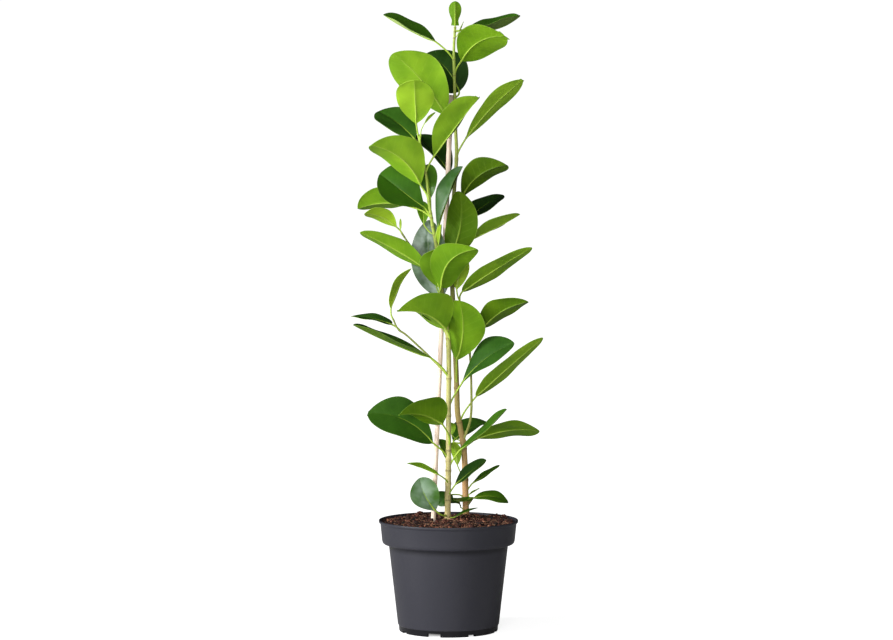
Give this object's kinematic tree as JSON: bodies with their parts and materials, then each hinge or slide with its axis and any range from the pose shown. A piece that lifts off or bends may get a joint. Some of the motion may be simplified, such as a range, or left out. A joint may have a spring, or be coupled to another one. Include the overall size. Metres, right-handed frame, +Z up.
{
  "type": "potted fig plant",
  "caption": "Leafy young fig houseplant in a round plastic nursery pot of soil, held upright by a thin wooden stick.",
  "frame": {"origin": "centre of the pot's underside, on the surface it stands on", "axes": "+Z up the plant; the pictured front looks along -Y, and +X is to the right of that view"},
  "size_m": [0.2348, 0.17, 0.7641],
  "materials": {
    "pot_plastic": "satin charcoal grey moulded plastic",
    "potting_soil": "rough reddish-brown peat and fibre",
    "pale_wood": "bare pale wood",
    "left_plant_green": "waxy green leaves on a pale green stem",
    "right_plant_green": "waxy green leaves on a brown-green stem"
  },
  "bodies": {
    "root": {"pot": "pot_plastic", "soil": "potting_soil", "support_stick": "pale_wood", "left_plant": "left_plant_green", "right_plant": "right_plant_green"}
  },
  "joints": []
}
